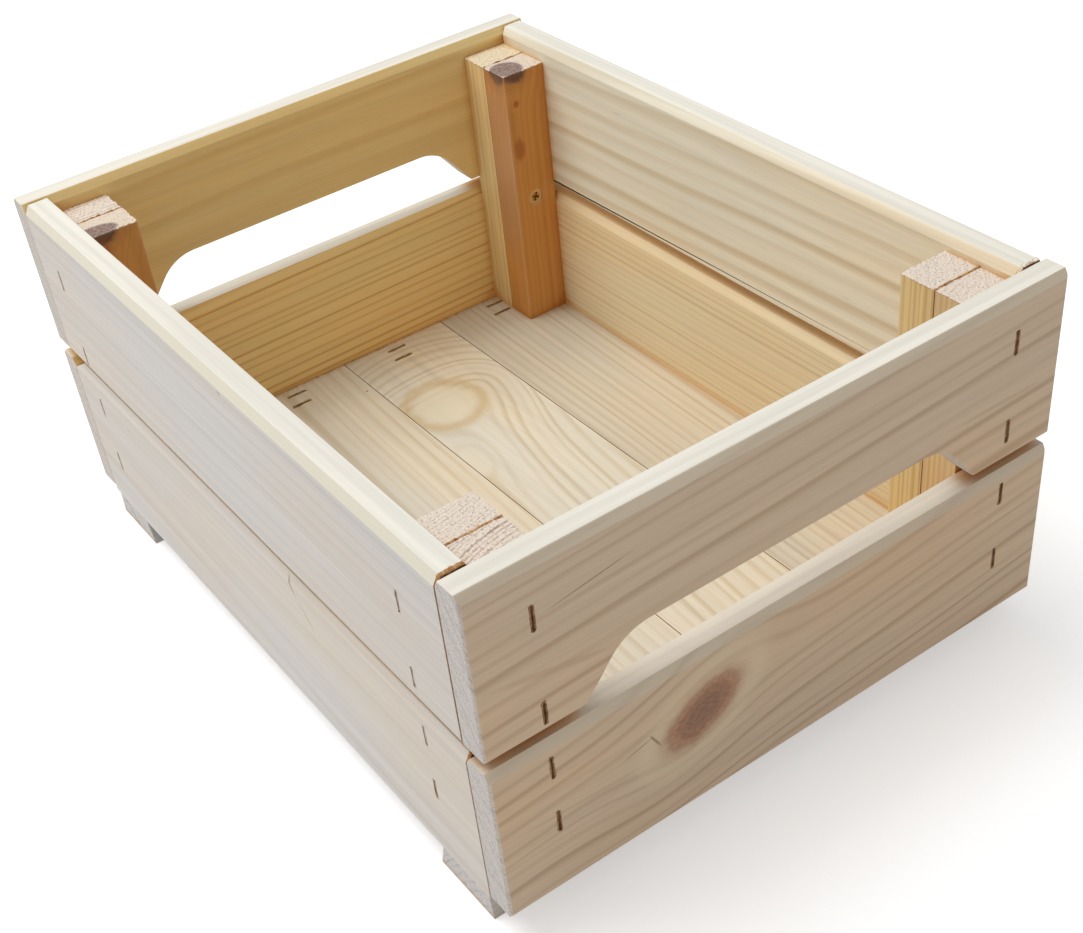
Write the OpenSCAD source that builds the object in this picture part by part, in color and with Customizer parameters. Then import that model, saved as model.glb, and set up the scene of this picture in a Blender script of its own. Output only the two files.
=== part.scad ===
// Slatted softwood apple crate with a handle opening in each end wall.
// +X runs across the width, +Y along the length, +Z up.
// The origin is on the ground, under the middle of the crate.
// "Front" is the end wall at -Y, "back" the end wall at +Y, "left" the side wall at -X.

/* [Crate] */
// Outside width, across an end wall
crate_w = 240; // [200:1:300]
// Outside length, along a side wall
crate_l = 320; // [260:1:400]
// Height from the ground to the rim
crate_h = 151; // [145:1:170]
// Thickness of the wall boards
board_t = 12; // [11:0.5:13]
// Gap between a wall's upper and lower board
board_gap = 5.4; // [3:0.2:8]
// Height of the upper wall boards
upper_h = 65.2; // [60:0.2:70]
// Height of the end walls' lower edge above the feet
end_lift = 2.9; // [0:0.1:6]
// Space between the end of a side board and the end wall
end_space = 0.4; // [0.2:0.1:1]

/* [Board edges] */
// How far the bevel of a top edge goes into the board's thickness
bevel_in = 2; // [1:0.1:3]
// How far the bevel of a top edge goes down the board's face
bevel_down = 3.4; // [1:0.1:5]
// Small bevel along bottom edges and upright corners
ease = 0.9; // [0.4:0.1:1.5]
// Length of the chip out of the lower left board's back end
chip_l = 6; // [4:0.5:12]
// Depth of that chip
chip_h = 3.5; // [3:0.5:8]

/* [Handles] */
// Width of a handle opening at its open lower edge
handle_w = 166; // [120:1:170]
// Height of a handle opening, cut up into the upper end board
handle_h = 20.4; // [15:0.2:25]
// How far each end of the handle opening slopes in towards the top
handle_slope = 16.5; // [12:0.5:24]
// Radius of the handle opening's upper corners
handle_r = 20; // [8:0.5:20]

/* [Corner posts] */
// Width of a post batten, across the crate
batten_w = 21; // [18:0.5:24]
// Thickness of a post batten, along the crate
batten_t = 14.9; // [13:0.1:18]
// Gap between the two battens of a post
batten_gap = 0.5; // [0.2:0.1:1]
// Length of the front posts' battens
front_post_h = 123.4; // [110:0.2:124]
// Length of the back posts' battens
back_post_h = 121.4; // [110:0.2:124]

/* [Floor and feet] */
// Thickness of the floor boards
floor_t = 11; // [9:0.5:12]
// Gap between two floor boards
floor_gap = 0.4; // [0.2:0.1:1]
// Thickness of the feet
foot_t = 11; // [9:0.5:14]
// Distance from an end wall's outer face to the foot's near edge
foot_inset = 13; // [12:0.5:20]
// Width of a foot on the ground
foot_w = 32; // [28:0.5:36]
// How far the foot's inner edge slopes in towards its top
foot_slope = 3.5; // [1:0.5:5]
// How far a foot's ends stay back from the side walls' faces
foot_end_inset = 0.5; // [0:0.1:2]

/* [Staples] */
// Length of a staple's crown, outside
crown_l = 9; // [8:0.2:12]
// Width of the staple wire, seen from above the crown
wire_w = 1.2; // [0.8:0.1:1.4]
// Thickness of the staple wire, along its legs' depth in the crown
wire_t = 0.8; // [0.5:0.1:1]
// Length of a wall staple, crown included
wall_staple_l = 20; // [16:0.5:22]
// Length of a floor staple, crown included
floor_staple_l = 15; // [13:0.5:17]
// Depth of a crown's top below the wood's surface
staple_sink = 1.3; // [0.5:0.1:2]
// Space round a staple in its slot
slot_space = 0.15; // [0.1:0.05:0.3]
// Heights of the staples in an end wall's left column
end_left_z = [44.5, 69.0, 92.8, 130.4];
// Heights of the staples in an end wall's right column
end_right_z = [41.0, 70.6, 97.5, 132.9];
// Heights of the staples in a side wall's front column
side_front_z = [44.2, 69.0, 94.8, 125.5];
// Heights of the staples in a side wall's back column
side_back_z = [38.4, 66.0, 91.6, 126.4];
// How far the side walls' staples sit behind the middle of their batten
side_staple_shift = 2.4; // [0:0.1:3]
// Distance of a floor board's outer staple from the foot's outer edge
floor_staple_inset = 5; // [4:0.5:7]
// Distance between a floor board's two staples at one foot
floor_staple_pitch = 8.5; // [6:0.5:12]
// How far each floor board's staples sit right of its middle
floor_staple_x = [-1.0, -1.8, -1.2, 1.6];
// How far the inner staple sits left of the outer one
floor_staple_jog = 1.6; // [0:0.1:2]

/* [Screws] */
// Head diameter of the countersunk screws
head_d = 7; // [6:0.1:8]
// Diameter of the screws' shanks
shank_d = 3.5; // [3:0.1:4]
// Length of the screw that joins the two battens of a post
post_screw_l = 25; // [22:1:27]
// Height of that screw
post_screw_z = 82.8; // [60:0.2:110]
// Length of the screw that holds a foot and the floor to a post
foot_screw_l = 45; // [35:1:60]
// Depth of the screw heads below the wood's surface
head_sink = 0.6; // [0.3:0.1:1]

/* [Hidden] */
$fn = 32;

cut = 1;                                      // how far a cutting shape runs past a surface
floor_boards = 4;                             // each is a node of its own
floor_z = foot_t + floor_t;                   // top of the floor
upper_z = crate_h - upper_h;                  // lower edge of the upper boards
lower_top = upper_z - board_gap;              // top edge of the lower boards
end_z = foot_t + end_lift;                    // lower edge of the end walls
inner_w = crate_w - 2 * board_t;              // clear width between the side walls
inner_l = crate_l - 2 * board_t;              // clear length between the end walls
side_l = inner_l - 2 * end_space;             // length of a side board
post_x = inner_w / 2 - batten_w / 2;          // middle of a post across the crate
outer_y = inner_l / 2 - batten_t / 2;         // middle of the batten against the end wall
inner_y = outer_y - batten_t - batten_gap;    // middle of the batten towards the middle
floor_board_w = (inner_w - (floor_boards - 1) * floor_gap) / floor_boards;
foot_y = crate_l / 2 - foot_inset;            // a foot's edge next to the end wall
foot_outer_slope = foot_slope / 3;            // the edge next to the end wall slopes less
cone_h = (head_d - shank_d) / 2;              // height of a 90 degree countersunk head
tip_d = 0.4;                                  // diameter of a screw's point
recess_l = head_d * 0.54;                     // cross recess in a screw head
recess_w = 0.9;
recess_depth = 1.4;
recess_turn = 20;                             // degrees that the cross is turned by
slot_w = wire_w + 2 * slot_space;
slot_l = crown_l + 2 * slot_space;
side_staple_y = [-inner_y + side_staple_shift, inner_y + side_staple_shift];
screw_reach = inner_y - batten_t / 2;         // where a post screw's head enters the inner batten

// colours of the woods and the steel
pale_pine = [0.87, 0.80, 0.68];
cream_pine = [0.90, 0.84, 0.72];
golden_pine = [0.84, 0.68, 0.42];
red_pine = [0.66, 0.42, 0.22];
grey_pine = [0.78, 0.74, 0.69];
dull_steel = [0.38, 0.30, 0.22];
yellow_zinc = [0.62, 0.48, 0.24];

// ---- boards ----

// Cross-section of a wall board: outer face on the line x = 0, lower edge on y = 0.
module board_section(height)
    polygon([[ease, 0], [board_t - ease, 0], [board_t, ease], [board_t, height - bevel_down],
             [board_t - bevel_in, height], [bevel_in, height], [0, height - bevel_down], [0, ease]]);

// A wall board along X, outer face on the plane y = 0 and facing -Y, lower edge on z = 0.
module wall_board(length, height)
    translate([-length / 2, 0, 0]) rotate([90, 0, 90]) linear_extrude(length) board_section(height);

// Plan of an end board, with its four upright corners eased.
module end_board_plan()
    polygon([[ease - crate_w / 2, 0], [crate_w / 2 - ease, 0], [crate_w / 2, ease],
             [crate_w / 2, board_t - ease / 2], [crate_w / 2 - ease / 2, board_t],
             [ease / 2 - crate_w / 2, board_t], [-crate_w / 2, board_t - ease / 2], [-crate_w / 2, ease]]);

// A front end board at its own place.
module end_board(z, height)
    translate([0, -crate_l / 2, z]) intersection() {
        wall_board(crate_w, height);
        linear_extrude(height) end_board_plan();
    }

// A left side board at its own place.
module side_board(z, height)
    translate([-crate_w / 2, 0, z]) rotate([0, 0, -90]) wall_board(side_l, height);

// Outline of a handle opening: a trapezoid, open below, with round upper corners.
module handle_outline() {
    half = handle_w / 2;
    top = half - handle_slope;
    lean = atan2(handle_h, handle_slope);
    reach = handle_r * tan(lean / 2);          // from a corner to where its rounding starts
    polygon([[-half, -cut], [half, -cut], [half, 0],
             [top + reach * cos(lean), handle_h - reach * sin(lean)], [top - reach, handle_h],
             [reach - top, handle_h], [-top - reach * cos(lean), handle_h - reach * sin(lean)], [-half, 0]]);
    for (s = [-1, 1]) translate([s * (top - reach), handle_h - handle_r]) circle(handle_r);
}

// The space of the front wall's handle opening.
module handle_cut()
    translate([0, cut - crate_l / 2 + board_t, upper_z]) rotate([90, 0, 0])
        linear_extrude(board_t + 2 * cut) handle_outline();

// A post batten that stands on the floor, given its middle.
module batten(x, y, height)
    translate([x - batten_w / 2, y - batten_t / 2, floor_z]) cube([batten_w, batten_t, height]);

// The front foot: a bar across the crate with sloping long edges.
module foot() {
    length = crate_w - 2 * foot_end_inset;
    translate([-length / 2, -foot_y, 0]) rotate([90, 0, 90]) linear_extrude(length)
        polygon([[0, 0], [foot_w, 0], [foot_w - foot_slope, foot_t], [foot_outer_slope, foot_t]]);
}

// ---- staples ----

// A staple driven along +Y into the plane y = 0, its crown upright and sunk below the surface.
module staple(length)
    translate([-wire_w / 2, staple_sink, -crown_l / 2]) {
        cube([wire_w, wire_t, crown_l]);
        for (z = [0, crown_l - wire_w]) translate([0, 0, z]) cube([wire_w, length, wire_w]);
    }

// The slot that a staple leaves: open to the surface over the crown, close round the legs.
module staple_slot(length)
    translate([-slot_w / 2, 0, -slot_l / 2]) {
        translate([0, -cut, 0]) cube([slot_w, cut + staple_sink + wire_t + slot_space, slot_l]);
        for (z = [0, slot_l - slot_w]) translate([0, 0, z])
            cube([slot_w, staple_sink + length + slot_space, slot_w]);
    }

// Puts its children at each staple of the front wall.
module at_front_staples()
    for (s = [-1, 1]) for (z = s < 0 ? end_left_z : end_right_z)
        translate([s * post_x, -crate_l / 2, z]) children();

// Puts its children at each staple of the left wall.
module at_left_staples()
    for (i = [0, 1]) for (z = i == 0 ? side_front_z : side_back_z)
        translate([-crate_w / 2, side_staple_y[i], z]) rotate([0, 0, -90]) children();

// Puts its children at each staple of the front half of the floor, driven down.
module at_floor_staples()
    for (i = [0 : floor_boards - 1]) for (row = [0, 1]) {
        x = floor_board_x(i) + floor_staple_x[i] - row * floor_staple_jog;
        y = row * floor_staple_pitch + floor_staple_inset - foot_y;
        translate([x, y, floor_z]) rotate([-90, 0, 0]) rotate([0, 90, 0]) children();
    }

function floor_board_x(i) = (i - (floor_boards - 1) / 2) * (floor_board_w + floor_gap);

// ---- screws ----

// A countersunk screw along +Y, its head's flat face on the plane y = head_sink.
module screw(length)
    translate([0, head_sink, 0]) rotate([-90, 0, 0]) difference() {
        union() {
            cylinder(d1 = head_d, d2 = shank_d, h = cone_h);
            cylinder(d = shank_d, h = length - shank_d);
            translate([0, 0, length - shank_d]) cylinder(d1 = shank_d, d2 = tip_d, h = shank_d);
        }
        for (a = [0, 90]) rotate([0, 0, a + recess_turn]) translate([-recess_l / 2, -recess_w / 2, -cut])
            cube([recess_l, recess_w, cut + recess_depth]);
    }

// The hole that a screw leaves, with its countersink open to the plane y = 0.
module screw_hole(length)
    rotate([-90, 0, 0]) {
        translate([0, 0, -cut]) cylinder(d = head_d, h = cut + head_sink);
        translate([0, 0, head_sink]) cylinder(d1 = head_d, d2 = shank_d, h = cone_h);
        cylinder(d = shank_d, h = head_sink + length + slot_space);
    }

// Puts its children at the front left post's own screw, driven towards the front wall.
module at_post_screw()
    translate([-post_x, -screw_reach, post_screw_z]) rotate([0, 0, 180]) children();

// Puts its children at the front left foot screw, driven up from the ground.
module at_foot_screw()
    translate([-post_x, -inner_y, 0]) rotate([90, 0, 0]) children();

// ---- repeats ----

// Its children and their mirror image across the crate.
module both_sides() { children(); mirror([1, 0, 0]) children(); }

// Its children and their mirror image along the crate.
module both_ends() { children(); mirror([0, 1, 0]) children(); }

// ---- one end wall and one side wall, each at the front or on the left ----

module front_upper()
    difference() {
        end_board(upper_z, upper_h);
        handle_cut();
        at_front_staples() staple_slot(wall_staple_l);
    }

module front_lower()
    difference() {
        end_board(end_z, lower_top - end_z);
        at_front_staples() staple_slot(wall_staple_l);
    }

module left_upper()
    difference() {
        side_board(upper_z, upper_h);
        at_left_staples() staple_slot(wall_staple_l);
    }

// A chipped board has lost the top corner of its back end.
module left_lower(chipped = false)
    difference() {
        side_board(foot_t, lower_top - foot_t);
        at_left_staples() staple_slot(wall_staple_l);
        if (chipped) translate([-crate_w / 2 - cut, side_l / 2, lower_top]) rotate([90, 0, 90])
            linear_extrude(board_t + 2 * cut)
                polygon([[cut, cut], [-chip_l, cut], [-chip_l, 0], [0, -chip_h], [cut, -chip_h]]);
    }

// The batten against the front wall, on the left.
module outer_batten(height)
    difference() {
        batten(-post_x, -outer_y, height);
        at_front_staples() staple_slot(wall_staple_l);
        at_post_screw() screw_hole(post_screw_l);
    }

// The batten next to it, towards the middle of the crate.
module inner_batten(height, back = false)
    difference() {
        batten(-post_x, -inner_y, height);
        if (back) mirror([0, 1, 0]) at_left_staples() staple_slot(wall_staple_l);
        else at_left_staples() staple_slot(wall_staple_l);
        at_post_screw() screw_hole(post_screw_l);
        at_foot_screw() screw_hole(foot_screw_l);
    }

// ---- nodes ----

module end_board_front_upper() color(pale_pine) front_upper();
module end_board_front_lower() color(pale_pine) front_lower();
module end_board_back_upper() color(golden_pine) mirror([0, 1, 0]) front_upper();
module end_board_back_lower() color(golden_pine) mirror([0, 1, 0]) front_lower();

module side_board_left_upper() color(grey_pine) left_upper();
module side_board_left_lower() color(grey_pine) left_lower(chipped = true);
module side_board_right_upper() color(pale_pine) mirror([1, 0, 0]) left_upper();
module side_board_right_lower() color(pale_pine) mirror([1, 0, 0]) left_lower();

module post_front_left_outer() color(cream_pine) outer_batten(front_post_h);
module post_front_left_inner() color(cream_pine) inner_batten(front_post_h);
module post_front_right_outer() color(golden_pine) mirror([1, 0, 0]) outer_batten(front_post_h);
module post_front_right_inner() color(golden_pine) mirror([1, 0, 0]) inner_batten(front_post_h);
module post_back_left_outer() color(cream_pine) mirror([0, 1, 0]) outer_batten(back_post_h);
module post_back_left_inner() color(red_pine) mirror([0, 1, 0]) inner_batten(back_post_h, true);
module post_back_right_outer()
    color(cream_pine) mirror([1, 0, 0]) mirror([0, 1, 0]) outer_batten(back_post_h);
module post_back_right_inner()
    color(red_pine) mirror([1, 0, 0]) mirror([0, 1, 0]) inner_batten(back_post_h, true);

// Floor board i, counted from the left, from 0.
module floor_board(i)
    difference() {
        translate([floor_board_x(i) - floor_board_w / 2, -side_l / 2, foot_t])
            cube([floor_board_w, side_l, floor_t]);
        both_ends() {
            at_floor_staples() staple_slot(floor_staple_l);
            both_sides() at_foot_screw() screw_hole(foot_screw_l);
        }
    }

module floor_board_1() color(cream_pine) floor_board(0);
module floor_board_2() color(cream_pine) floor_board(1);
module floor_board_3() color(pale_pine) floor_board(2);
module floor_board_4() color(pale_pine) floor_board(3);

module drilled_foot()
    difference() {
        foot();
        at_floor_staples() staple_slot(floor_staple_l);
        both_sides() at_foot_screw() screw_hole(foot_screw_l);
    }

module foot_front() color(grey_pine) drilled_foot();
module foot_back() color(grey_pine) mirror([0, 1, 0]) drilled_foot();

module staples_front_wall() color(dull_steel) at_front_staples() staple(wall_staple_l);
module staples_back_wall() color(dull_steel) mirror([0, 1, 0]) at_front_staples() staple(wall_staple_l);
module staples_left_wall() color(dull_steel) at_left_staples() staple(wall_staple_l);
module staples_right_wall() color(dull_steel) mirror([1, 0, 0]) at_left_staples() staple(wall_staple_l);
module staples_floor() color(dull_steel) both_ends() at_floor_staples() staple(floor_staple_l);

module post_screws() color(yellow_zinc) both_sides() both_ends() at_post_screw() screw(post_screw_l);
module foot_screws() color(yellow_zinc) both_sides() both_ends() at_foot_screw() screw(foot_screw_l);

end_board_front_upper();
end_board_front_lower();
end_board_back_upper();
end_board_back_lower();
side_board_left_upper();
side_board_left_lower();
side_board_right_upper();
side_board_right_lower();
post_front_left_outer();
post_front_left_inner();
post_front_right_outer();
post_front_right_inner();
post_back_left_outer();
post_back_left_inner();
post_back_right_outer();
post_back_right_inner();
floor_board_1();
floor_board_2();
floor_board_3();
floor_board_4();
foot_front();
foot_back();
staples_front_wall();
staples_back_wall();
staples_left_wall();
staples_right_wall();
staples_floor();
post_screws();
foot_screws();
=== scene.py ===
import math
from collections import namedtuple

import bmesh
import bpy
from mathutils import Matrix, Vector, noise


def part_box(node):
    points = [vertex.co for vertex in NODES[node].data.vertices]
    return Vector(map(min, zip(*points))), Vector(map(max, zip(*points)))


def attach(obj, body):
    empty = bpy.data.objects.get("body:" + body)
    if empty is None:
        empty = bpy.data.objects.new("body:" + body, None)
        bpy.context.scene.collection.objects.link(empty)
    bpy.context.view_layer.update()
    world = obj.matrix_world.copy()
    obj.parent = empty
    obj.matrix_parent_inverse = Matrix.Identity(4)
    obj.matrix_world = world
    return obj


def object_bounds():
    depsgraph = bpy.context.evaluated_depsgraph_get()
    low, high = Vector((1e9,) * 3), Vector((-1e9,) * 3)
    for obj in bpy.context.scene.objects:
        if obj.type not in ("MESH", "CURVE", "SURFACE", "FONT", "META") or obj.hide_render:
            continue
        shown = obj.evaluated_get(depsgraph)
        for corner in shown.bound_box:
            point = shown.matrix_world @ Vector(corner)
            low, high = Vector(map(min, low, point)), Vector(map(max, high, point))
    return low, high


# Slatted softwood apple crate. Front is -Y, left is -X, up is +Z. Lengths are metres.

MM = 0.001

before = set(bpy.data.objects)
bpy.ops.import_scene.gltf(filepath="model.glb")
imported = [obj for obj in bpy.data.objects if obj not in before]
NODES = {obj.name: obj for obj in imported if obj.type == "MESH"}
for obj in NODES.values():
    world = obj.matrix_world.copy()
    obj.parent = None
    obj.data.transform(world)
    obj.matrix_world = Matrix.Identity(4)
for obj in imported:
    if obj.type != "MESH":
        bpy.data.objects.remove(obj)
CAD_BOX = [list(corner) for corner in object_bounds()]
BODY = "root"

POST_X = 97.5 * MM                             # the posts' middle, left and right of the crate's
RIM_BEVEL_IN, RIM_BEVEL_DOWN = 2 * MM, 3.4 * MM
STAPLE_HALF_LONG, STAPLE_HALF_WIDE = 4.65 * MM, 0.75 * MM
SAME_POINT = 0.005 * MM                        # points closer than this are one
# SHELTER_REACH also sets how far the painted shade in gaps and corners reaches
SHELTER_REACH = 9 * MM                         # how far wood looks for what shelters it
END_BOARD_ROUNDING = 0.6 * MM
OTHER_ROUNDING = 0.35 * MM
CLOSING = 0.5 * MM                             # how far torn wood reaches over a staple's slot


# ---- shader graph helper ----

class Graph:
    """The nodes of one material, made and linked by short calls."""

    def __init__(self, name):
        self.material = bpy.data.materials.new(name)
        self.material.use_nodes = True
        self.tree = self.material.node_tree
        self.tree.nodes.clear()

    def put(self, socket, value):
        if isinstance(value, bpy.types.NodeSocket):
            self.tree.links.new(value, socket)
        elif value is not None:
            socket.default_value = value

    def node(self, kind, inputs=None, **settings):
        """A shader node, with settings as attributes and inputs by socket name or number."""
        node = self.tree.nodes.new("ShaderNode" + kind)
        for key, value in settings.items():
            setattr(node, key, value)
        for key, value in (inputs or {}).items():
            self.put(node.inputs[key], value)
        return node

    def math(self, operation, *values, clamp=False):
        node = self.node("Math", dict(enumerate(values)), operation=operation, use_clamp=clamp)
        return node.outputs[0]

    def add(self, a, b):
        return self.math("ADD", a, b)

    def sub(self, a, b):
        return self.math("SUBTRACT", a, b)

    def mul(self, a, b):
        return self.math("MULTIPLY", a, b)

    def length(self, *parts):
        """Square root of the sum of squares."""
        squares = [self.mul(part, part) for part in parts]
        total = squares[0]
        for square in squares[1:]:
            total = self.add(total, square)
        return self.math("SQRT", total)

    def bell(self, distance, width):
        """1 at distance 0, falling to 0 over about twice the width."""
        scaled = self.math("DIVIDE", distance, width)
        return self.math("EXPONENT", self.mul(self.mul(scaled, scaled), -1.0))

    def ramp(self, value, low, high, start=0.0, end=1.0):
        """Smooth step from start at low to end at high."""
        inputs = {"Value": value, "From Min": low, "From Max": high, "To Min": start, "To Max": end}
        return self.node("MapRange", inputs, interpolation_type="SMOOTHSTEP").outputs[0]

    def mix(self, share, a, b, blend="MIX"):
        node = self.node("Mix", {0: share, 6: a, 7: b}, data_type="RGBA", blend_type=blend)
        return node.outputs[2]

    def tint(self, share, colour, factor):
        """The colour times a factor, by a share from 0 to 1."""
        return self.mix(share, colour, self.mix(1.0, colour, factor, "MULTIPLY"))

    def shade(self, colour, value):
        """The colour times one number."""
        grey = self.node("CombineColor", {0: value, 1: value, 2: value}).outputs[0]
        return self.mix(1.0, colour, grey, "MULTIPLY")

    def place(self, *parts):
        return self.node("CombineXYZ", dict(enumerate(parts))).outputs[0]

    def noise(self, place, scale, detail=2.0, roughness=0.5, output="Fac"):
        """Noise whose scale is features per metre, one number for each of the place's three directions."""
        stretched = self.node("VectorMath", {0: place, 1: scale}, operation="MULTIPLY").outputs[0]
        inputs = {"Vector": stretched, "Scale": 1.0, "Detail": detail, "Roughness": roughness}
        return self.node("TexNoise", inputs).outputs[output]

    def noise_along(self, value, scale, detail=1.0):
        """Noise along one number."""
        inputs = {"W": self.mul(value, scale), "Scale": 1.0, "Detail": detail}
        return self.node("TexNoise", inputs, noise_dimensions="1D").outputs["Fac"]

    def finish(self, **inputs):
        """Ends the graph in one Principled shader."""
        names = {key.replace("_", " "): value for key, value in inputs.items()}
        shader = self.node("BsdfPrincipled", names)
        out = self.node("OutputMaterial")
        self.tree.links.new(shader.outputs[0], out.inputs[0])
        return self.material


def rgb(*values):
    return (*values, 1)


# ---- wood ----

# axes: the board's directions along the grain, across its wide face and through its thickness.
# pith: where the trunk's middle lies, across and through.
# ring: distance between growth rings. soft: where in a ring the dark latewood starts, from 0 to 1.
# wave: how far the rings wander. slant: how far the pith drifts across, per metre along.
# apex: where along the grain the rings close into arches, or None.
# depth: how strong the rings show. rim, bevel: how pale the planed top edge and its bevels are; partly
# painted light, as the paleness shows only where they face up and are open to the sky.
# ends: how strong the rings show on the sawn ends.
Wood = namedtuple("Wood", "axes pith ring soft wave slant apex depth marks wear rim bevel ends colours")
Colours = namedtuple("Colours", "pale late end_pale end_dark")
# A knot, eye, stain or scratch: an ellipsoid in the board's own directions, tilted on its wide face.
Mark = namedtuple("Mark", "kind at size tilt strength")

COOL = rgb(0.985, 1.0, 1.01)
WARM = rgb(1.035, 0.98, 0.90)
FLECK = rgb(0.30, 0.19, 0.11)
# painted shade colours: brown for deep gaps, and warm, darker tints for sheltered places and contact lines
PAINTED_GAP_SHADE = rgb(0.46, 0.22, 0.09)
PAINTED_WARM_SHADE = rgb(1.0, 0.88, 0.70)
PAINTED_CONTACT_SHADE = rgb(0.80, 0.60, 0.38)
PALE_EDGE = rgb(0.84, 0.80, 0.72)
RIM = rgb(0.83, 0.80, 0.71)
BEVELLED = rgb(0.78, 0.73, 0.58)
KNOT_CORE = rgb(0.17, 0.073, 0.048)
KNOT_BODY = rgb(0.42, 0.20, 0.11)
KNOT_TOP = rgb(0.17, 0.095, 0.075)
KNOT_SIDE = rgb(0.17, 0.07, 0.025)
HALO = rgb(0.82, 0.68, 0.46)
EYE_RING = rgb(0.64, 0.47, 0.23)
EYE_PALE = rgb(0.84, 0.75, 0.54)
BLOTCHES = {
    "line": rgb(0.26, 0.16, 0.09),
    "band": rgb(0.52, 0.34, 0.19),
    "bark": rgb(0.27, 0.20, 0.10),
    "spot": rgb(0.42, 0.13, 0.03),
    "dot": rgb(0.20, 0.11, 0.06),
    "pink": rgb(0.50, 0.31, 0.19),
}


def wood(name, look, seed):
    """Pine with growth rings as cylinders round one pith line, so that all faces of a board agree."""
    g = Graph(name)
    here = g.node("TexCoord").outputs["Object"]
    parts = g.node("SeparateXYZ", {0: here}).outputs
    spot = [parts["xyz".index(axis)] for axis in look.axes]
    along, across, through = spot
    shift = seed * 1.37
    grain = g.place(g.add(along, shift), across, through)

    late, distances = growth_rings(g, look, spot, grain, shift)
    fibre = g.noise(grain, (26, 1500, 1500), 2.0)
    colour = g.mix(g.mul(late, look.depth), look.colours.pale, look.colours.late)
    colour = wood_variation(g, colour, grain, fibre)
    for mark, distance in zip(look.marks, distances):
        colour = paint_mark(g, mark, distance, colour, grain)

    normal = g.node("NewGeometry").outputs["Normal"]
    facing = g.node("SeparateXYZ", {0: normal}).outputs
    end = g.ramp(g.math("ABSOLUTE", facing["xyz".index(look.axes[0])]), 0.5, 0.8)
    colour, pores = end_grain(g, look, colour, late, spot, grain, end, distances)
    # ambient occlusion: how open to the sky a point is; it drives the painted shade and the paleness of open
    # tops and edges
    open_sky = g.node("AmbientOcclusion", {"Distance": SHELTER_REACH}, samples=8).outputs["AO"]
    # paler planed top and upward bevels, shown only where open to the sky: partly the planed wood, partly
    # painted light
    if look.rim:
        outside = g.math("COMPARE", facing["xyz".index(look.axes[2])], look.bevel[1], 0.6)
        sloping = g.mul(g.ramp(facing[2], 0.15, 0.5, 0.0, look.bevel[0]), outside)
        colour = g.mix(g.mul(sloping, g.ramp(open_sky, 0.35, 0.8)), colour, BEVELLED)
        streaks = g.noise(grain, (10, 420, 420), 2.0)
        planed = g.shade(RIM, g.ramp(streaks, 0.25, 0.75, 0.90, 1.05))
        flat = g.mul(g.ramp(facing[2], 0.7, 0.97, 0.0, look.rim), g.ramp(open_sky, 0.35, 0.8))
        colour = g.mix(flat, colour, planed)
    colour = edges_and_gaps(g, colour, normal, open_sky, look.wear)

    height = g.add(g.mul(fibre, 0.00005), g.mul(late, 0.00002))
    height = g.add(height, g.mul(g.mul(pores, end), 0.0003))
    relief = g.ramp(facing[2], -0.3, -0.05, 0.0, 0.8)
    bump = g.node("Bump", {"Height": height, "Distance": 1.0, "Strength": relief}).outputs[0]
    rough = g.add(g.ramp(fibre, 0.3, 0.7, 0.58, 0.74), g.mul(end, 0.15))
    return g.finish(Base_Color=colour, Roughness=rough, Normal=bump, Specular_IOR_Level=0.25)


def growth_rings(g, look, spot, grain, shift):
    """How much latewood is here, from 0 to 1, and the distance from each mark."""
    along, across, through = spot
    wander = g.node("SeparateColor", {0: g.noise(grain, (4.5, 12, 12), 1.5, output="Color")}).outputs
    pith_across = g.add(g.mul(along, look.slant), look.pith[0])
    ringed_across = g.add(g.sub(across, pith_across), g.mul(g.sub(wander[0], 0.5), 2 * look.wave))
    ringed_through = g.add(g.sub(through, look.pith[1]), g.mul(g.sub(wander[1], 0.5), 2 * look.wave))
    distances = []
    calm = None
    for mark in look.marks:
        distance, off_across = mark_distance(g, mark, along, across, through)
        distances.append(distance)
        if mark.kind in ("knot", "eye", "tip"):
            push = g.mul(g.bell(distance, 1.8), 0.9)
            ringed_across = g.sub(ringed_across, g.mul(off_across, push))
            calm = g.ramp(distance, 0.75, 1.15, 0.15, 1.0)
    radius_parts = [ringed_across, ringed_through]
    if look.apex is not None:
        radius_parts.append(g.math("MAXIMUM", g.sub(along, look.apex), 0.0))
    radius = g.length(*radius_parts)
    uneven = g.mul(g.noise_along(g.add(radius, shift), 0.35 / look.ring), 1.6)
    phase = g.add(g.math("DIVIDE", radius, look.ring), uneven)
    part = g.math("FRACT", phase)
    late = g.mul(g.ramp(part, look.soft, 0.75), g.ramp(part, 0.78, 1.0, 1.0, 0.0))
    number = g.node("TexWhiteNoise", {"W": g.math("FLOOR", phase)}, noise_dimensions="1D").outputs[0]
    late = g.mul(late, g.add(g.mul(number, 0.7), 0.3))
    if calm is not None:
        late = g.mul(late, calm)
    return late, distances


def wood_variation(g, colour, grain, fibre):
    """Fine fibres, soft streaks, warmer and cooler areas, and short resin flecks."""
    streak = g.noise(grain, (5, 260, 260), 2.0)
    cloud = g.noise(grain, (7, 22, 22), 1.5)
    colour = g.tint(g.ramp(cloud, 0.35, 0.7), colour, WARM)
    colour = g.tint(g.ramp(cloud, 0.6, 0.3), colour, COOL)
    light = g.add(g.mul(g.sub(streak, 0.5), 0.24), g.mul(g.sub(fibre, 0.5), 0.18))
    colour = g.shade(colour, g.add(1.0, light))
    fleck = g.ramp(g.noise(grain, (80, 1000, 1000), 1.0), 0.75, 0.80, 0.0, 0.25)
    return g.mix(fleck, colour, FLECK)


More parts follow.
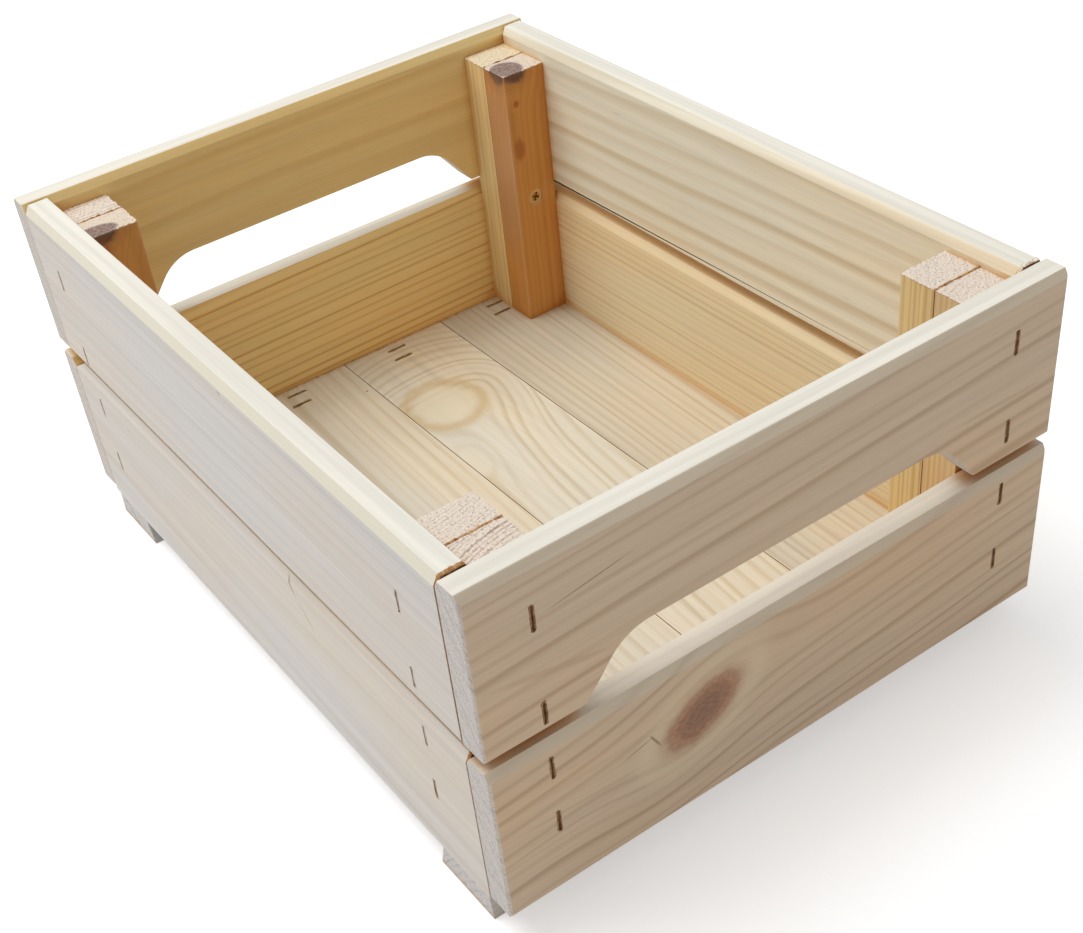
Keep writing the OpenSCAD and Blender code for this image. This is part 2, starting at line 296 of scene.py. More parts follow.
def mark_distance(g, mark, along, across, through):
    """Distance from a mark's middle, 1 at its rim, and the offset across the board."""
    da, dc, dt = (g.sub(way, at * MM) for way, at in zip((along, across, through), mark.at))
    tilt = math.radians(mark.tilt)
    turn, lift = math.cos(tilt), math.sin(tilt)
    long_way = g.add(g.mul(da, turn), g.mul(dc, lift))
    short_way = g.sub(g.mul(dc, turn), g.mul(da, lift))
    ways = zip((long_way, short_way, dt), mark.size)
    return g.length(*[g.math("DIVIDE", way, size * MM) for way, size in ways]), dc


def paint_mark(g, mark, distance, colour, grain):
    """Adds a knot, an eye or a blotch to the wood's colour."""
    torn = 0.2 if mark.kind in ("knot", "eye") else 0.4
    ragged = g.add(distance, g.mul(g.sub(g.noise(grain, (170, 170, 170), 2.5), 0.5), torn))
    if mark.kind == "knot":
        return paint_knot(g, mark, ragged, colour, grain)
    if mark.kind == "eye":
        pale = g.mix(g.ramp(ragged, 0.95, 0.6, 0.0, mark.strength), colour, EYE_PALE)
        return g.mix(g.mul(g.bell(g.sub(ragged, 0.93), 0.17), mark.strength), pale, EYE_RING)
    if mark.kind == "tip":
        speckle = g.noise(grain, (1100, 1100, 1100), 2.0)
        inside = g.mix(g.ramp(speckle, 0.42, 0.62), KNOT_TOP, KNOT_SIDE)
        halo = g.mix(g.ramp(ragged, 1.7, 1.0, 0.0, 0.5), colour, rgb(0.46, 0.19, 0.06))
        return g.mix(g.ramp(ragged, 0.85, 1.1, mark.strength, 0.0), halo, inside)
    return g.mix(g.ramp(ragged, 0.45, 1.05, mark.strength, 0.0), colour, BLOTCHES[mark.kind])


def paint_knot(g, mark, ragged, colour, grain):
    """A sound knot: pale wood round it, a soft brown body, a darker core and its own rings."""
    pale = g.mix(g.mul(g.bell(g.sub(ragged, 1.3), 0.28), 0.45 * mark.strength), colour, HALO)
    rings = g.math("SINE", g.mul(ragged, 26.0))
    fuzz = g.noise(grain, (500, 900, 900), 2.5, 0.6)
    inside = g.mix(g.ramp(rings, -1.0, 1.0, 0.0, 0.3), KNOT_BODY, KNOT_CORE)
    inside = g.mix(g.ramp(ragged, 0.25, 0.7, 0.6, 0.0), inside, KNOT_CORE)
    inside = g.shade(inside, g.ramp(fuzz, 0.3, 0.7, 0.8, 1.25))
    return g.mix(g.ramp(ragged, 0.6, 1.1, mark.strength, 0.0), pale, inside)


def end_grain(g, look, colour, late, spot, grain, end, distances):
    """Sawn ends: paler and greyer, with dark ring lines broken into dashes, and open pores."""
    _, across, through = spot
    pores = g.noise(grain, (900, 1300, 1300), 3.0, 0.65)
    dashes = g.ramp(g.noise(grain, (500, 420, 420), 2.0), 0.35, 0.6, 0.35, 1.0)
    sawn = g.mix(0.12, look.colours.end_pale, colour)
    sawn = g.mix(g.mul(g.mul(late, dashes), look.ends), sawn, look.colours.end_dark)
    sawn = g.mix(g.ramp(pores, 0.52, 0.66, 0.0, 0.7), sawn, look.colours.end_dark)
    if look.rim:
        slanting = g.sub(g.mul(through, 0.9), g.mul(across, 0.45))
        lines = g.ramp(g.noise_along(slanting, 1100, 2.0), 0.52, 0.62, 0.0, 0.6)
        sawn = g.mix(g.mul(lines, dashes), sawn, look.colours.end_dark)
    for mark, distance in zip(look.marks, distances):
        if mark.kind == "tip":
            inside = g.mix(g.ramp(pores, 0.4, 0.6), KNOT_TOP, rgb(0.36, 0.25, 0.22))
            sawn = g.mix(g.ramp(distance, 0.8, 1.0, mark.strength, 0.0), sawn, inside)
    return g.mix(end, colour, sawn), pores


def edges_and_gaps(g, colour, normal, open_sky, wear):
    """Paler rounded edges where open to the sky, and painted shade: warmer, darker wood in sheltered places
    and brown deep in gaps and slots.
    """
    rounded = g.node("Bevel", {"Radius": 1.1 * MM}, samples=4).outputs[0]
    facing = g.node("VectorMath", {0: rounded, 1: normal}, operation="DOT_PRODUCT").outputs["Value"]
    # paler on rounded edges, only where open to the sky
    pale_edge_share = g.mul(g.ramp(facing, 0.995, 0.85, 0.0, wear), g.ramp(open_sky, 0.6, 0.95))
    colour = g.mix(pale_edge_share, colour, PALE_EDGE)
    # painted shade: warmer and darker where little of the sky is open, near corners and between parts
    colour = g.tint(g.ramp(open_sky, 0.7, 0.25, 0.0, 0.8), colour, PAINTED_WARM_SHADE)
    colour = g.tint(g.ramp(open_sky, 0.66, 0.5, 0.0, 0.7), colour, PAINTED_CONTACT_SHADE)
    # painted shade: brown deep in gaps and slots
    return g.mix(g.ramp(open_sky, 0.16, 0.0, 0.0, 0.8), colour, PAINTED_GAP_SHADE)


GREY_ENDS = (rgb(0.74, 0.70, 0.675), rgb(0.40, 0.37, 0.36))
PINK_ENDS = (rgb(0.80, 0.715, 0.635), rgb(0.30, 0.19, 0.13))
CREAM_ENDS = (rgb(0.80, 0.72, 0.60), rgb(0.46, 0.31, 0.20))
GOLDEN_ENDS = (rgb(0.80, 0.69, 0.50), rgb(0.42, 0.28, 0.16))

FRONT = Colours(rgb(0.705, 0.535, 0.375), rgb(0.44, 0.27, 0.155), *GREY_ENDS)
BACK = Colours(rgb(0.84, 0.63, 0.285), rgb(0.62, 0.36, 0.11), *GREY_ENDS)
BACK_LOW = Colours(rgb(0.90, 0.67, 0.30), rgb(0.60, 0.31, 0.085), *GREY_ENDS)
LEFT = Colours(rgb(0.745, 0.70, 0.655), rgb(0.62, 0.55, 0.48), *GREY_ENDS)
RIGHT = Colours(rgb(0.90, 0.84, 0.685), rgb(0.67, 0.53, 0.33), *GREY_ENDS)
RIGHT_LOW = Colours(rgb(0.88, 0.745, 0.50), rgb(0.66, 0.48, 0.245), *GREY_ENDS)
FLOOR = Colours(rgb(0.755, 0.705, 0.59), rgb(0.55, 0.43, 0.25), *CREAM_ENDS)
FLOOR_RIGHT = Colours(rgb(0.65, 0.59, 0.475), rgb(0.47, 0.35, 0.20), *CREAM_ENDS)
POST_PALE = Colours(rgb(0.78, 0.60, 0.34), rgb(0.56, 0.35, 0.15), *PINK_ENDS)
POST_GOLDEN = Colours(rgb(0.86, 0.655, 0.33), rgb(0.62, 0.39, 0.145), *GOLDEN_ENDS)
POST_GOLD = Colours(rgb(0.85, 0.65, 0.32), rgb(0.54, 0.30, 0.095), *PINK_ENDS)
POST_RED = Colours(rgb(0.66, 0.31, 0.085), rgb(0.50, 0.19, 0.04), *CREAM_ENDS)
FOOT = Colours(rgb(0.62, 0.60, 0.58), rgb(0.46, 0.42, 0.39), *GREY_ENDS)


def look(axes, pith, ring, colours, soft=0.4, wave=0.002, slant=0.0, apex=None, depth=0.7,
         marks=(), wear=0.3, rim=0.0, bevel=(0.0, 0), ends=0.6):
    """A board's look; the pith and ring are in millimetres. bevel: its paleness, and the side it is on."""
    pith = (pith[0] * MM, pith[1] * MM)
    return Wood(axes, pith, ring * MM, soft, wave, slant, apex, depth, marks, wear, rim, bevel, ends, colours)


# Marks are placed along the grain, across the wide face and through the board, in millimetres.
FRONT_UPPER_MARKS = (
    Mark("line", (-77, 132.8, -160), (19, 0.45, 6), 8.2, 0.55),
    Mark("band", (-92, 107.5, -160), (28, 1.7, 9), -12.0, 0.35),
    Mark("band", (92, 111.5, -160), (26, 1.2, 9), 0.0, 0.35),
)
FRONT_LOWER_MARKS = (
    Mark("knot", (-38.6, 54.0, -160), (20.5, 11.8, 30), 29.0, 0.85),
    Mark("line", (-58.4, 53.8, -160), (4.6, 0.6, 5), -60.0, 0.7),
    Mark("line", (-65, 54.5, -160), (8, 0.5, 5), 14.0, 0.45),
    Mark("band", (-88, 47.0, -160), (32, 0.9, 9), -3.0, 0.3),
)
BARK_STREAK = (
    Mark("bark", (-38.0, 76.4, -120), (5.8, 0.8, 4), 59.0, 0.6),
    Mark("bark", (-46.1, 67.0, -120), (7.0, 0.45, 4), 42.6, 0.5),
    Mark("dot", (-98.2, 92.8, -120), (1.6, 0.5, 3), 10.0, 0.5),
)
LEFT_UPPER_MARKS = (Mark("dot", (-17.9, 146.2, -120), (1.8, 0.5, 3), 5.0, 0.5),)
EYE_MARKS = (
    Mark("eye", (87, 17, 22), (19.5, 18.5, 30), 0.0, 0.65),
    Mark("eye", (42, 3.4, 22), (14, 7.5, 20), 8.0, 0.15),
)
DOT_MARKS = (Mark("dot", (121, -3.4, 22), (0.8, 0.7, 2), 0.0, 0.8),)
BACK_RIGHT_KNOT = (
    Mark("tip", (144, 92.5, 123.5), (7.5, 8.2, 8.2), 0.0, 0.95),
    Mark("pink", (98, 87, 125.5), (56, 2.0, 14), 0.0, 0.45),
    Mark("spot", (129.5, 92.0, 117.7), (2.2, 2.0, 3), 0.0, 0.9),
    Mark("spot", (108.5, 91.5, 117.7), (6.5, 3.4, 4), 0.0, 0.75),
    Mark("spot", (117, 89.5, 117.7), (20, 1.6, 3), 0.0, 0.3),
)
BACK_LEFT_KNOT = (
    Mark("tip", (144, -103, 121.0), (7, 10, 5.5), 0.0, 0.95),
    Mark("spot", (130, -103, 117.7), (14, 5, 6), 0.0, 0.5),
)

WALL = dict(rim=0.95, ends=0.2)
LOW_WALL = dict(rim=0.3, ends=0.2)
LOOKS = {
    "end_board_front_upper": look("xzy", (40, -90), 5.6, FRONT, 0.45, 0.004, 0.05, depth=0.6,
                                  marks=FRONT_UPPER_MARKS, bevel=(0.45, -1), **WALL),
    "end_board_front_lower": look("xzy", (-70, -110), 6.2, FRONT, 0.45, 0.004, 0.10, depth=0.6,
                                  marks=FRONT_LOWER_MARKS, rim=0.8, bevel=(0.5, -1), ends=0.2),
    "end_board_back_upper": look("xzy", (80, 240), 6.0, BACK, 0.2, 0.004, 0.03, depth=0.35,
                                 bevel=(0.8, 1), **WALL),
    "end_board_back_lower": look("xzy", (160, 150), 4.4, BACK_LOW, 0.5, 0.001, 0.02,
                                 depth=0.9, **WALL),
    "side_board_left_upper": look("yzx", (240, -80), 3.0, LEFT, 0.4, 0.002, 0.0, depth=0.3,
                                  marks=LEFT_UPPER_MARKS, bevel=(0.8, -1), **WALL),
    "side_board_left_lower": look("yzx", (60, -200), 6.0, LEFT, 0.3, 0.004, 0.06, depth=0.4,
                                  marks=BARK_STREAK, **LOW_WALL),
    "side_board_right_upper": look("yzx", (-30, 150), 8.2, RIGHT, 0.25, 0.004, -0.03, depth=0.8,
                                   bevel=(0.8, 1), **WALL),
    "side_board_right_lower": look("yzx", (190, 120), 3.4, RIGHT_LOW, 0.4, 0.0015, 0.0, depth=0.6,
                                   **LOW_WALL),
    "floor_board_1": look("yxz", (20, 50), 4.0, FLOOR, 0.4, 0.002, 0.0, depth=0.6),
    "floor_board_2": look("yxz", (-130, 10), 4.8, FLOOR, 0.35, 0.002, 0.05, depth=0.5, marks=DOT_MARKS),
    "floor_board_3": look("yxz", (10, 22), 5.2, FLOOR, 0.3, 0.004, 0.09, 0.087, 0.55, marks=EYE_MARKS),
    "floor_board_4": look("yxz", (170, 40), 4.2, FLOOR_RIGHT, 0.35, 0.002, 0.03, depth=0.6),
    "post_front_left_outer": look("zxy", (-82, -200), 1.75, POST_PALE, 0.35, 0.0005, depth=0.85, ends=0.95),
    "post_front_left_inner": look("zxy", (-110, -60), 1.5, POST_PALE, 0.5, 0.0006, depth=0.45, ends=0.35),
    "post_front_right_outer": look("zxy", (110, -200), 2.2, POST_PALE, 0.4, 0.0006, depth=0.7, ends=0.15),
    "post_front_right_inner": look("zxy", (60, -90), 2.0, POST_GOLD, 0.4, 0.0006, depth=0.8, ends=0.15),
    "post_back_left_outer": look("zxy", (-100, 480), 2.2, POST_PALE, 0.4, 0.001, depth=0.5, ends=0.5),
    "post_back_left_inner": look("zxy", (-140, 110), 2.6, POST_RED, 0.4, 0.0015, depth=0.4,
                                 marks=BACK_LEFT_KNOT, ends=0.2),
    "post_back_right_outer": look("zxy", (60, 190), 3.2, POST_GOLDEN, 0.4, 0.001, depth=0.5, ends=0.15),
    "post_back_right_inner": look("zxy", (60, 100), 3.0, POST_RED, 0.3, 0.0015, depth=0.35,
                                  marks=BACK_RIGHT_KNOT, ends=0.15),
    "foot_front": look("xyz", (-180, -40), 3.0, FOOT, 0.4, 0.001, depth=0.6),
    "foot_back": look("xyz", (180, -40), 3.4, FOOT, 0.4, 0.001, depth=0.6),
}


# ---- torn wood and metal ----

def torn_wood(name, pale, dark):
    """Broken fibres: two colours in short streaks."""
    g = Graph(name)
    here = g.node("TexCoord").outputs["Object"]
    streaks = g.noise(here, (1400, 1400, 1400), 3.0, 0.6)
    patches = g.noise(here, (300, 300, 300), 2.0)
    share = g.ramp(g.add(g.mul(streaks, 0.5), g.mul(patches, 0.5)), 0.4, 0.6)
    bump = g.node("Bump", {"Height": g.mul(streaks, 0.0003), "Distance": 1.0}).outputs[0]
    roughness = g.ramp(patches, 0.3, 0.7, 0.75, 0.95)
    return g.finish(Base_Color=g.mix(share, pale, dark), Roughness=roughness, Normal=bump)


def steel(name, colour, stain, rough):
    """Wire with darker stained patches."""
    g = Graph(name)
    here = g.node("TexCoord").outputs["Object"]
    patches = g.noise(here, (600, 600, 600), 3.0)
    mixed = g.mix(g.ramp(patches, 0.4, 0.62), colour, stain)
    scratches = g.noise(here, (2500, 2500, 400), 2.0)
    bump = g.node("Bump", {"Height": g.mul(scratches, 0.00004), "Distance": 1.0}).outputs[0]
    roughness = g.ramp(patches, 0.3, 0.7, rough, rough + 0.2)
    return g.finish(Base_Color=mixed, Roughness=roughness, Metallic=0.3, Normal=bump)


def zinc_screw(name):
    """A yellow zinc screw whose head is bright at its rim and stained round its cross."""
    g = Graph(name)
    here = g.node("TexCoord").outputs["Object"]
    x, _, z = g.node("SeparateXYZ", {0: here}).outputs[:3]
    low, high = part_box("post_screws")
    middle = (low + high) / 2
    radius_x = g.sub(g.math("ABSOLUTE", x), POST_X)
    radius = g.length(radius_x, g.sub(z, middle.z))
    patches = g.noise(here, (900, 900, 900), 3.0)
    spread = g.add(radius, g.mul(g.sub(patches, 0.5), 1.2 * MM))
    stained = g.ramp(spread, 1.9 * MM, 2.9 * MM)
    colour = g.mix(stained, rgb(0.55, 0.30, 0.10), rgb(0.80, 0.54, 0.20))
    # painted shade: dark red-brown deep in the head's cross, where the ambient occlusion is strongest
    deep = g.node("AmbientOcclusion", {"Distance": 1.2 * MM}, samples=6).outputs["AO"]
    colour = g.mix(g.ramp(deep, 0.2, 0.75, 0.9, 0.0), colour, rgb(0.20, 0.05, 0.02))
    scratches = g.noise(here, (2500, 400, 2500), 2.0)
    bump = g.node("Bump", {"Height": g.mul(scratches, 0.00004), "Distance": 1.0}).outputs[0]
    roughness = g.ramp(patches, 0.3, 0.7, 0.35, 0.6)
    return g.finish(Base_Color=colour, Roughness=roughness, Metallic=0.4, Normal=bump)


# ---- dressing the CAD nodes ----

def soften_edges(item, width):
    """Rounds a CAD node's sharp edges with modifiers."""
    weld = item.modifiers.new("weld", "WELD")
    weld.merge_threshold = SAME_POINT
    flat = item.modifiers.new("flat", "DECIMATE")
    flat.decimate_type = "DISSOLVE"
    flat.angle_limit = math.radians(0.5)
    bevel = item.modifiers.new("bevel", "BEVEL")
    bevel.width = width
    bevel.segments = 2
    bevel.limit_method = "ANGLE"
    bevel.angle_limit = math.radians(25)


def dress_nodes():
    """Gives each CAD node its material, rounds the boards' edges, and returns the materials."""
    made = {
        "wire": steel("staple_wire", rgb(0.78, 0.42, 0.16), rgb(0.42, 0.19, 0.07), 0.55),
        "screw": zinc_screw("screw_steel"),
    }
    for count, (name, item) in enumerate(sorted(NODES.items())):
        if name in LOOKS:
            made[name] = wood(name + "_pine", LOOKS[name], count + 1)
            soften_edges(item, END_BOARD_ROUNDING if name.startswith("end_board") else OTHER_ROUNDING)
        item.data.materials.clear()
        item.data.materials.append(made.get(name) or made["wire" if name.startswith("staples") else "screw"])
    return made


# ---- new pieces ----

def add_piece(name, vertices, faces, material):
    """A new piece of the crate, with its normals pointing out."""
    mesh = bpy.data.meshes.new(name)
    mesh.from_pydata(vertices, [], faces)
    work = bmesh.new()
    work.from_mesh(mesh)
    bmesh.ops.recalc_face_normals(work, faces=work.faces)
    work.to_mesh(mesh)
    work.free()
    mesh.materials.append(material)
    piece = bpy.data.objects.new(name, mesh)
    bpy.context.scene.collection.objects.link(piece)
    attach(piece, BODY)
    return piece


def roughness_at(place, size, octaves=4):
    """Noise from about -1 to 1, whose largest bumps are about the given size."""
    return noise.fractal(Vector(place) / size, 0.9, 2.1, octaves)


def sawn_cap(node, material, spread):
    """The rough sawn top of a batten: an uneven skin with a ragged rim.
    spread: how far the rim's burr reaches on -X, +X, -Y and +Y, in millimetres."""
    low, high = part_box(node)
    step = 0.42 * MM
    count_x = round((high.x - low.x) / step)
    count_y = round((high.y - low.y) / step)
    vertices = []
    for j in range(count_y + 1):
        for i in range(count_x + 1):
            x = low.x + (high.x - low.x) * i / count_x
            y = low.y + (high.y - low.y) * j / count_y
            fine = roughness_at((x, y, high.z), 0.8 * MM)
            broad = roughness_at((x, y, high.z + 1), 5 * MM, 2)
            z = high.z + (0.22 + 0.14 * fine + 0.12 * broad) * MM
            sides = [i == 0, i == count_x, j == 0, j == count_y]
            if any(sides):
                burr = roughness_at((x, y, high.z), 1.1 * MM) + 0.25
                z -= 0.12 * MM
                moves = [burr * way * side for way, side in zip(spread, sides)]
                x += (moves[1] - moves[0]) * MM
                y += (moves[3] - moves[2]) * MM
            vertices.append((x, y, z))
    row = count_x + 1
    faces = [(k, k + 1, k + 1 + row, k + row)
             for j in range(count_y) for k in range(j * row, j * row + count_x)]
    rim = list(range(count_x)) + [count_x + row * j for j in range(count_y)]
    rim += [row * count_y + i for i in range(count_x, 0, -1)] + [row * j for j in range(count_y, 0, -1)]
    start = len(vertices)
    inset = 0.12 * MM
    for k in rim:
        x, y, _ = vertices[k]
        x = min(max(x, low.x + inset), high.x - inset)
        y = min(max(y, low.y + inset), high.y - inset)
        vertices.append((x, y, high.z - 0.7 * MM))
    size = len(rim)
    for k in range(size):
        after = (k + 1) % size
        faces.append((rim[k], start + k, start + after, rim[after]))
    faces.append(tuple(range(start, start + size)))
    return add_piece("sawn_top_" + node.removeprefix("post_"), vertices, faces, material)


def torn_ridge(name, path, up, width, height, material, step=0.45 * MM):
    """A ragged ridge of broken fibres along a path of points, standing up from it."""
    stops = []
    for start, end in zip(path, path[1:]):
        start, end = Vector(start), Vector(end)
        count = max(1, round((end - start).length / step))
        stops += [(start.lerp(end, i / count), (end - start).normalized()) for i in range(count)]
    stops.append((Vector(path[-1]), (Vector(path[-1]) - Vector(path[-2])).normalized()))
    up = Vector(up).normalized()
    vertices, faces = [], []
    ring = 6
    for spot, way in stops:
        side = way.cross(up).normalized()
        level = max(0.12, 0.55 + 0.75 * roughness_at(spot, 1.6 * MM))
        lean = roughness_at(spot + Vector((1, 0, 0)), 1.2 * MM)
        profile = [(-0.5, -0.5), (-0.55, 0.15), (-0.2, 0.8), (0.2, 0.95), (0.55, 0.1), (0.5, -0.5)]
        for across, rise in profile:
            spread = 1 + 0.35 * roughness_at(spot + Vector((0, across, rise)), 0.9 * MM)
            lift = rise * level if rise > 0 else rise
            move = side * (across * spread + 0.18 * lean * (rise > 0)) * width
            vertices.append(spot + move + up * lift * height)
    for k in range(len(stops) - 1):
        for m in range(ring):
            after = (m + 1) % ring
            faces.append((k * ring + m, k * ring + after, (k + 1) * ring + after, (k + 1) * ring + m))
    faces.append(tuple(range(ring)))
    faces.append(tuple(range(len(vertices) - ring, len(vertices))))
    return add_piece(name, vertices, faces, material)


def islands(node):
    """The boxes of a node's separate solids, each as its lowest and highest corner."""
    work = bmesh.new()
    work.from_mesh(NODES[node].data)
    bmesh.ops.remove_doubles(work, verts=work.verts, dist=SAME_POINT)
    left = set(work.verts)
    boxes = []
    while left:
        todo = [left.pop()]
        found = []
        while todo:
            vertex = todo.pop()
            found.append(vertex.co.copy())
            for edge in vertex.link_edges:
                other = edge.other_vert(vertex)
                if other in left:
                    left.remove(other)
                    todo.append(other)
        corners = [[pick(co[axis] for co in found) for axis in range(3)] for pick in (min, max)]
        boxes.append([Vector(corner) for corner in corners])
    work.free()
    return sorted(boxes, key=lambda pair: tuple(round(value, 5) for value in pair[0]))


def torn_collars(name, node, outward, surface, long_way, closing, spread, material):
    """Torn wood round each staple of a node. closing: how far the torn edge reaches over the slot, and
    spread: how far it runs out over the board, both the most in metres."""
    outward, long_way = Vector(outward), Vector(long_way)
    side = outward.cross(long_way)
    vertices, faces = [], []
    points = 56
    half_long, half_wide = STAPLE_HALF_LONG, STAPLE_HALF_WIDE
    for low, high in islands(node):
        middle = (low + high) / 2
        middle += outward * (surface - middle.dot(outward))
        first = len(vertices)
        for k in range(points):
            turn = 2 * math.pi * k / points
            u = math.copysign(abs(math.sin(turn)) ** 0.25, math.sin(turn)) * half_long
            v = math.copysign(abs(math.cos(turn)) ** 0.35, math.cos(turn)) * half_wide
            out = (long_way * u / half_long * 0.3 + side * v / half_wide).normalized()
            rim = middle + long_way * u + side * v
            close = closing * max(0.0, 0.55 + 0.8 * roughness_at(rim, 1.4 * MM))
            reach = spread * max(0.12, 0.35 + 1.1 * roughness_at(rim + Vector((1, 1, 0)), 1.5 * MM))
            lift = 0.12 * MM * (1 + roughness_at(rim, 0.7 * MM))
            jag = long_way * spread * 0.6 * roughness_at(rim + Vector((0, 0, 1)), 1.0 * MM)
            vertices.append(rim - out * close - outward * 0.45 * MM)
            vertices.append(rim - out * close * 0.8 + outward * lift * 0.4)
            vertices.append(rim + out * reach * 0.4 + outward * lift)
            vertices.append(rim + out * reach + jag - outward * 0.04 * MM)
        for k in range(points):
            after = (k + 1) % points
            for m in range(4):
                up = (m + 1) % 4
                here, there = first + k * 4, first + after * 4
                faces.append((here + m, there + m, there + up, here + up))
    return add_piece(name, vertices, faces, material)


def board_edge_path(node, y, outside):
    """Up a side board's outer bevel, over its top and down its inner bevel, at one end."""
    low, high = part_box(node)
    outer, inner = (low.x, high.x) if outside < 0 else (high.x, low.x)
    inward = 1 if inner > outer else -1
    skin = 0.3 * MM
    low_z, top_z = high.z - RIM_BEVEL_DOWN, high.z - skin
    return [(outer + inward * skin, y, low_z), (outer + inward * RIM_BEVEL_IN, y, top_z),
            (inner - inward * RIM_BEVEL_IN, y, top_z), (inner - inward * skin, y, low_z)]


def add_rough_tops(made):
    """Sawn tops for the eight battens, and the torn strip between the two of each post."""
    free, towards_gap = 0.6, 0.12
    slots = {"front_left": ("pale_post_pine",) * 2, "front_right": ("pale_post_pine", "golden_post_pine"),
             "back_left": ("pale_post_pine", "reddish_post_pine"),
             "back_right": ("pale_post_pine", "reddish_post_pine")}
    # torn fibres for the post gaps and the left front side-board ends; their dark orange-brown is partly
    # painted shade of the gaps
    fibre = torn_wood("torn_fibre_orange_and_painted_shade", rgb(0.58, 0.34, 0.15), rgb(0.33, 0.14, 0.04))
    for corner, pair in slots.items():
        for part, slot in zip(("outer", "inner"), pair):
            node = f"post_{corner}_{part}"
            gap_is_above = (part == "outer") == corner.startswith("front")
            burrs = (free, free, free if gap_is_above else towards_gap, towards_gap if gap_is_above else free)
            sawn_cap(node, made[node], burrs)
        low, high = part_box(f"post_{corner}_inner")
        front = corner.startswith("front")
        y = (low.y if front else high.y) + (-0.25 if front else 0.25) * MM
        path = [(low.x + 0.2 * MM, y, high.z), (high.x - 0.2 * MM, y, high.z)]
        torn_ridge(f"torn_gap_{corner}", path, (0, 0, 1), 1.3 * MM, 0.85 * MM, fibre)
    return fibre


def add_torn_ends(made, fibre):
    """Torn fibres on the side boards' ends, in the gaps at the four corners."""
    for side, sign in (("left", -1), ("right", 1)):
        for level in ("upper", "lower"):
            node = f"side_board_{side}_{level}"
            low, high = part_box(node)
            for end, y in (("front", low.y - 0.3 * MM), ("back", high.y)):
                if (side, level, end) == ("left", "lower", "back"):
                    continue
                front = end == "front"
                width, height = (1.5 * MM, 0.9 * MM) if front else (0.9 * MM, 0.4 * MM)
                # the left front ends take the dark orange fibres, whose colour is partly painted shade of the
                # corner gaps
                stuff = fibre if front and side == "left" else made[node]
                torn_ridge(f"torn_end_{side}_{level}_{end}", board_edge_path(node, y, sign), (0, 0, 1),
                           width, height, stuff)


def add_floor_fringe():
    """Ragged fibres along both ends of the floor boards."""
    fibre = torn_wood("torn_fibre_pale", rgb(0.72, 0.55, 0.36), rgb(0.40, 0.23, 0.10))
    for i in range(1, 5):
        low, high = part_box(f"floor_board_{i}")
        for end, y in (("front", low.y + 0.2 * MM), ("back", high.y - 0.2 * MM)):
            path = [(low.x + 0.4 * MM, y, high.z - 0.05 * MM), (high.x - 0.4 * MM, y, high.z - 0.05 * MM)]
            torn_ridge(f"torn_floor_{i}_{end}", path, (0, 0, 1), 0.9 * MM, 0.4 * MM, fibre)


def add_staple_wounds(made):
    """Torn rims round every staple slot."""
    low, high = CAD_BOX
    brown = torn_wood("torn_fibre_brown", rgb(0.46, 0.27, 0.14), rgb(0.20, 0.09, 0.035))
    tan = torn_wood("torn_fibre_tan", rgb(0.60, 0.43, 0.22), rgb(0.34, 0.20, 0.07))
    floor_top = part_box("floor_board_1")[1].z
    up = (0, 0, 1)
    torn_collars("torn_slots_front", "staples_front_wall", (0, -1, 0), -low[1], up,
                 CLOSING, 0.6 * MM, brown)
    torn_collars("torn_slots_back", "staples_back_wall", (0, 1, 0), high[1], up,
                 CLOSING, 0.6 * MM, brown)
    torn_collars("torn_slots_left", "staples_left_wall", (-1, 0, 0), -low[0], up,
                 CLOSING, 0.2 * MM, made["side_board_left_upper"])
    torn_collars("torn_slots_right", "staples_right_wall", (1, 0, 0), high[0], up,
                 CLOSING, 0.2 * MM, made["side_board_right_upper"])
    torn_collars("torn_slots_floor", "staples_floor", up, floor_top, (1, 0, 0),
                 CLOSING, 0.8 * MM, tan)


# ---- studio ----

def light_path_share(g):
    """1 for rays from the camera, or seen in a reflection or through glass."""
    rays = g.node("LightPath").outputs
    seen = g.math("MAXIMUM", rays["Is Camera Ray"], rays["Is Glossy Ray"])
    return g.math("MAXIMUM", seen, rays["Is Transmission Ray"])


def make_floor():
    """A pale floor that takes the shadow, with a glow that only the camera sees."""
    g = Graph("studio_floor")
    diffuse = g.node("BsdfDiffuse", {"Color": rgb(0.82, 0.82, 0.82)})
    glow = g.node("Emission", {"Strength": g.mul(light_path_share(g), 0.42)})
    both = g.node("AddShader", {0: diffuse.outputs[0], 1: glow.outputs[0]})
    out = g.node("OutputMaterial")
    g.tree.links.new(both.outputs[0], out.inputs[0])
    mesh = bpy.data.meshes.new("studio_floor")
    reach = 6.0
    corners = [(-reach, -reach, 0), (reach, -reach, 0), (reach, reach, 0), (-reach, reach, 0)]
    mesh.from_pydata(corners, [], [(0, 1, 2, 3)])
    mesh.materials.append(g.material)
    floor = bpy.data.objects.new("studio_floor", mesh)
    bpy.context.scene.collection.objects.link(floor)


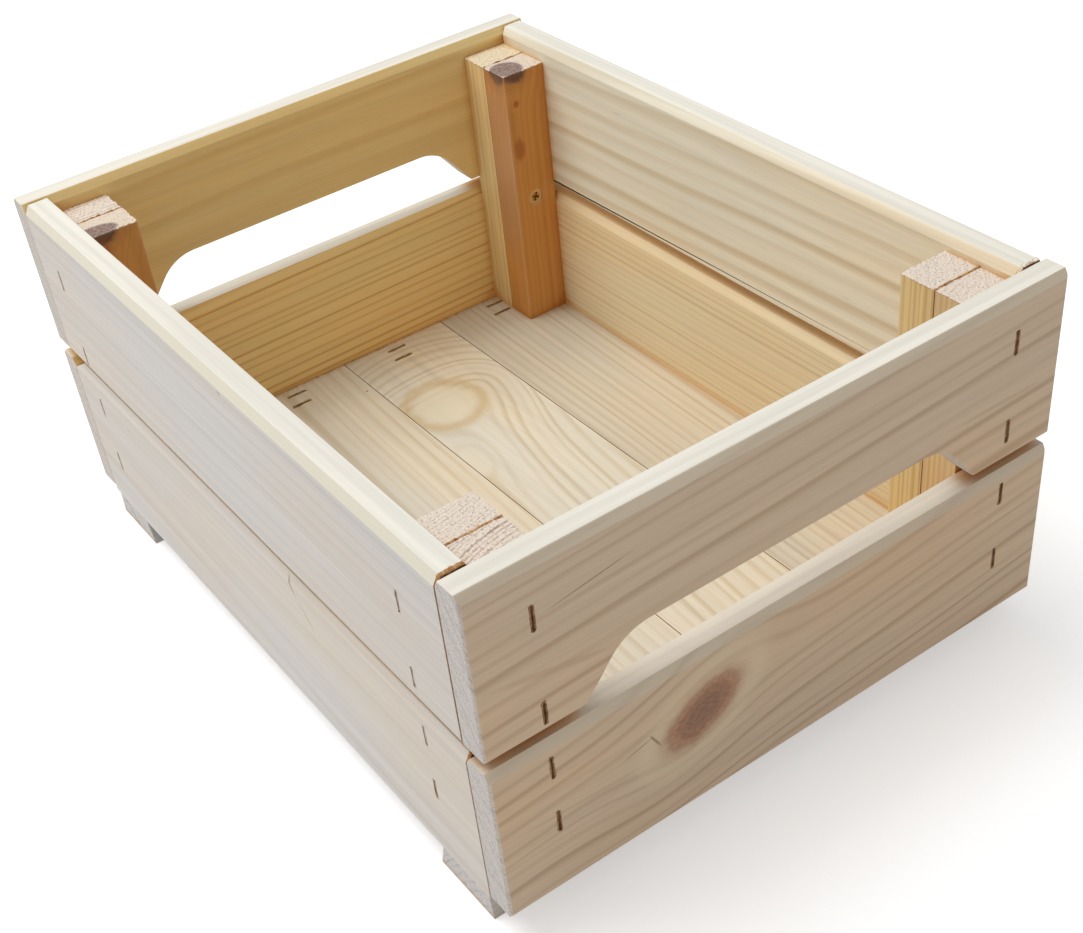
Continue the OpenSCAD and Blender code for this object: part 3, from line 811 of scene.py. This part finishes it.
def make_world(strength):
    """Even light of a given strength, before a white background."""
    world = bpy.data.worlds.new("studio")
    bpy.context.scene.world = world
    world.use_nodes = True
    tree = world.node_tree
    tree.nodes.clear()
    rays = tree.nodes.new("ShaderNodeLightPath")
    level = tree.nodes.new("ShaderNodeMapRange")
    level.inputs["To Min"].default_value = strength
    level.inputs["To Max"].default_value = 1.0
    tree.links.new(rays.outputs["Is Camera Ray"], level.inputs["Value"])
    back = tree.nodes.new("ShaderNodeBackground")
    tree.links.new(level.outputs[0], back.inputs["Strength"])
    out = tree.nodes.new("ShaderNodeOutputWorld")
    tree.links.new(back.outputs[0], out.inputs[0])


def area_light(name, place, target, size, power):
    """A round soft light that faces the target."""
    data = bpy.data.lights.new(name, "AREA")
    data.shape = "DISK"
    data.size = size
    data.energy = power
    lamp = bpy.data.objects.new(name, data)
    lamp.location = place
    lamp.rotation_euler = (Vector(target) - Vector(place)).to_track_quat("-Z", "Y").to_euler()
    bpy.context.scene.collection.objects.link(lamp)


def make_camera():
    """The photograph's viewpoint: above the front left corner, with a slight roll."""
    place = Vector((-0.2679, -0.4496, 0.4328))
    forward = Vector((0.39307, 0.65321, -0.64716))
    right = Vector((0.80805, -0.58125, -0.09590))
    up = right.cross(forward)
    data = bpy.data.cameras.new("camera")
    data.sensor_width = 36.0
    data.lens = 53.86
    data.shift_x = 0.0028
    data.shift_y = 0.0962
    data.clip_start = 0.01
    camera = bpy.data.objects.new("camera", data)
    camera.matrix_world = Matrix((right, up, -forward)).transposed().to_4x4()
    camera.location = place
    bpy.context.scene.collection.objects.link(camera)
    bpy.context.scene.camera = camera


def make_studio():
    """Floor, even light, one large lamp behind the left wall, and the camera."""
    make_floor()
    make_world(strength=0.58)
    area_light("key", place=(-0.55, 0.65, 1.85), target=(0, 0, 0.08), size=1.6, power=28)
    make_camera()
    bpy.context.scene.view_settings.view_transform = "Standard"


made = dress_nodes()
fibre = add_rough_tops(made)
add_torn_ends(made, fibre)
add_floor_fringe()
add_staple_wounds(made)
make_studio()
